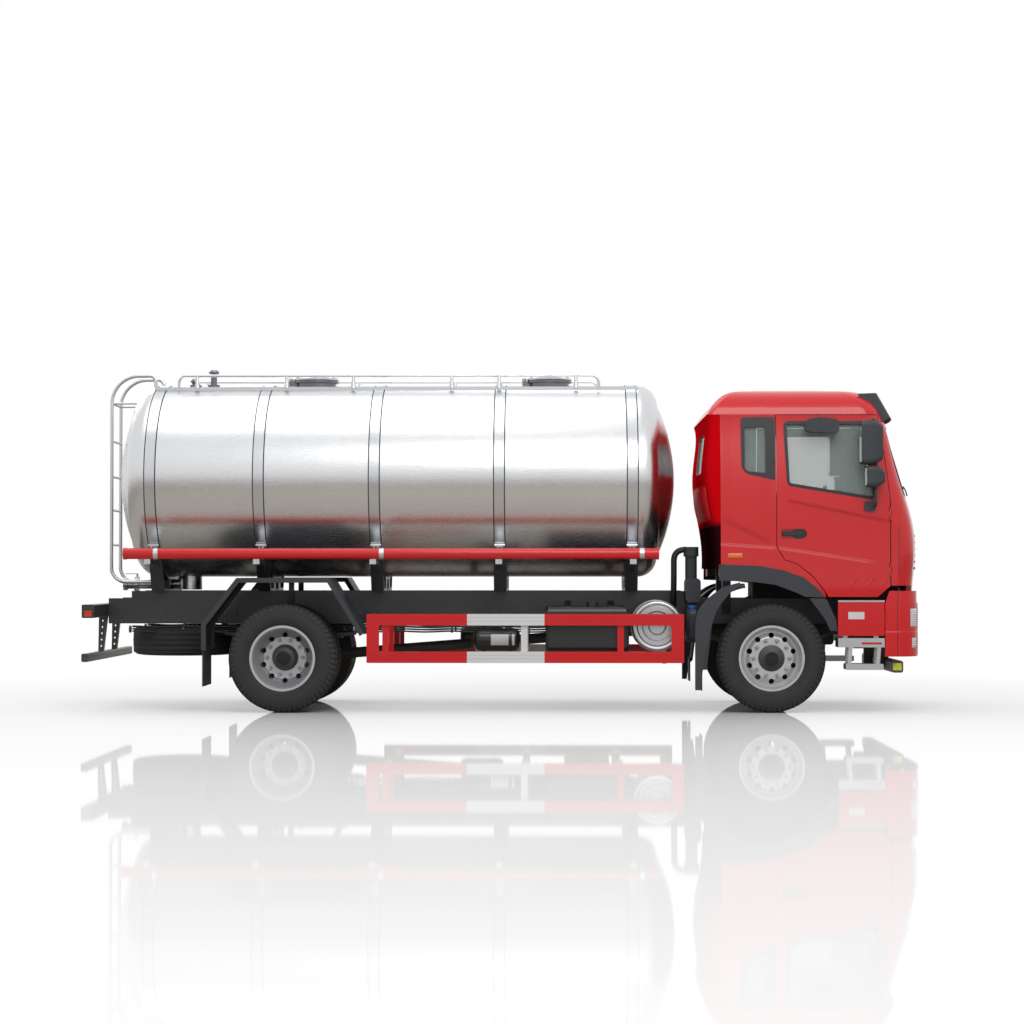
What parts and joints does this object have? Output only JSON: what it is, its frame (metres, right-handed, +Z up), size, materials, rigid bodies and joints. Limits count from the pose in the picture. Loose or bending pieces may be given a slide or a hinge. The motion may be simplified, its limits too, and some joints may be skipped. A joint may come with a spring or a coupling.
{
  "type": "tanker truck",
  "caption": "Two-axle rigid truck with a tilting cab, an elliptical stainless tank with bands, ladder, top handrails and manholes, hose tubes, side guards and twin rear tyres.",
  "frame": {"origin": "on the ground, midway along and across the truck", "axes": "+X forward along the truck, +Y to its left, +Z up"},
  "size_m": [7.82, 2.8482, 3.2399],
  "materials": {
    "tank_steel": "satin stainless sheet",
    "bright_steel": "bright stainless tube",
    "red_paint": "gloss paint",
    "frame_paint": "satin chassis paint",
    "dark_plastic": "grained moulding",
    "black_paint": "satin paint",
    "tyre_rubber": "matt rubber",
    "rim_silver": "silver wheel paint",
    "cast_metal": "painted casting",
    "bright_cover": "pressed bright cover",
    "glazing": "tinted glass",
    "seat_cloth": "woven seat cloth",
    "cabin_plastic": "soft-touch moulding",
    "lamp_lens": "clear and coloured lens"
  },
  "bodies": {
    "chassis": {"air_tanks": "black_paint", "battery_box": "black_paint", "bumper": "red_paint", "engine_block": "cast_metal", "exhaust_canister": "bright_cover", "frame_crossmembers": "frame_paint", "frame_rails": "frame_paint", "front_axle": "cast_metal", "fuel_tank": "black_paint", "hose_tubes": "red_paint", "intake_stack": "dark_plastic", "ladder": "bright_steel", "lamps": "lamp_lens", "leaf_springs": "frame_paint", "manhole_necks": "bright_steel", "mudguards": "dark_plastic", "outlet_pipe": "bright_steel", "propeller_shaft": "cast_metal", "rear_axle": "cast_metal", "rear_underrun": "frame_paint", "side_guards": "red_paint", "spare_wheel": "tyre_rubber", "step_panels": "red_paint", "step_treads": "bright_cover", "tank": "tank_steel", "tank_bands": "bright_steel", "tank_cradle": "frame_paint", "tank_handrails": "bright_steel", "urea_tank": "dark_plastic"},
    "cab": {"cab_back_wall": "red_paint", "cab_side_right": "red_paint", "cab_side_left": "red_paint", "cab_front_frame": "red_paint", "cab_roof": "red_paint", "cab_floor": "black_paint", "cab_glass": "glazing", "seats": "seat_cloth", "dashboard": "cabin_plastic", "sun_visor": "dark_plastic", "arch_trims": "dark_plastic"},
    "door_right": {"door_right": "red_paint", "door_glass_right": "glazing", "mirrors_right": "dark_plastic"},
    "door_left": {"door_left": "red_paint", "door_glass_left": "glazing", "mirrors_left": "dark_plastic"},
    "front_panel": {"front_panel": "red_paint"},
    "rear_manhole_lid": {"rear_manhole_lid": "bright_steel"},
    "front_manhole_lid": {"front_manhole_lid": "bright_steel"},
    "knuckle_left": {"knuckle_left": "cast_metal"},
    "knuckle_right": {"knuckle_right": "cast_metal"},
    "tie_rod": {"tie_rod": "cast_metal"},
    "wheel_front_left": {"tyre_front_left": "tyre_rubber", "rim_front_left": "rim_silver"},
    "wheel_rear_left": {"tyre_rear_left": "tyre_rubber", "rim_rear_left": "rim_silver"},
    "wheel_front_right": {"tyre_front_right": "tyre_rubber", "rim_front_right": "rim_silver"},
    "wheel_rear_right": {"tyre_rear_right": "tyre_rubber", "rim_rear_right": "rim_silver"}
  },
  "joints": [
    {"name": "cab_tilt", "type": "hinge", "parent": "chassis", "child": "cab", "pos_m": [3.75, 0, 1.09], "axis": [0, 1, 0], "range_deg": [0, 45]},
    {"name": "door_right_open", "type": "hinge", "parent": "cab", "child": "door_right", "pos_m": [3.545, -1.203, 1.8], "axis": [0, 0, 1], "range_deg": [0, 70]},
    {"name": "door_left_open", "type": "hinge", "parent": "cab", "child": "door_left", "pos_m": [3.545, 1.203, 1.8], "axis": [0, 0, -1], "range_deg": [0, 70]},
    {"name": "front_panel_lift", "type": "hinge", "parent": "cab", "child": "front_panel", "pos_m": [3.795, 0, 1.968], "axis": [0, -1, 0], "range_deg": [0, 75]},
    {"name": "rear_manhole_open", "type": "hinge", "parent": "chassis", "child": "rear_manhole_lid", "pos_m": [-2.088, 0, 3.15], "axis": [0, -1, 0], "range_deg": [0, 100]},
    {"name": "front_manhole_open", "type": "hinge", "parent": "chassis", "child": "front_manhole_lid", "pos_m": [0.169, 0, 3.15], "axis": [0, -1, 0], "range_deg": [0, 100]},
    {"name": "steer_left", "type": "hinge", "parent": "chassis", "child": "knuckle_left", "pos_m": [2.46, 0.85, 0.5], "axis": [0, 0, 1], "range_deg": [-38, 38]},
    {"name": "steer_right", "type": "hinge", "parent": "chassis", "child": "knuckle_right", "pos_m": [2.46, -0.85, 0.5], "axis": [0, 0, 1], "range_deg": [-38, 38]},
    {"name": "tie_rod_swing", "type": "hinge", "parent": "knuckle_left", "child": "tie_rod", "pos_m": [2.29, 0.85, 0.37], "axis": [0, 0, 1], "range_deg": [-38, 38]},
    {"name": "wheel_front_left_roll", "type": "hinge", "parent": "knuckle_left", "child": "wheel_front_left", "pos_m": [2.46, 1.02, 0.5], "axis": [0, 1, 0], "continuous": true},
    {"name": "wheel_front_right_roll", "type": "hinge", "parent": "knuckle_right", "child": "wheel_front_right", "pos_m": [2.46, -1.02, 0.5], "axis": [0, 1, 0], "continuous": true},
    {"name": "wheel_rear_left_roll", "type": "hinge", "parent": "chassis", "child": "wheel_rear_left", "pos_m": [-2.04, 0.93, 0.5], "axis": [0, 1, 0], "continuous": true},
    {"name": "wheel_rear_right_roll", "type": "hinge", "parent": "chassis", "child": "wheel_rear_right", "pos_m": [-2.04, -0.93, 0.5], "axis": [0, 1, 0], "continuous": true}
  ],
  "couplings": [
    {"joint": "steer_right", "follows": "steer_left", "ratio": 1},
    {"joint": "tie_rod_swing", "follows": "steer_left", "ratio": -1}
  ]
}
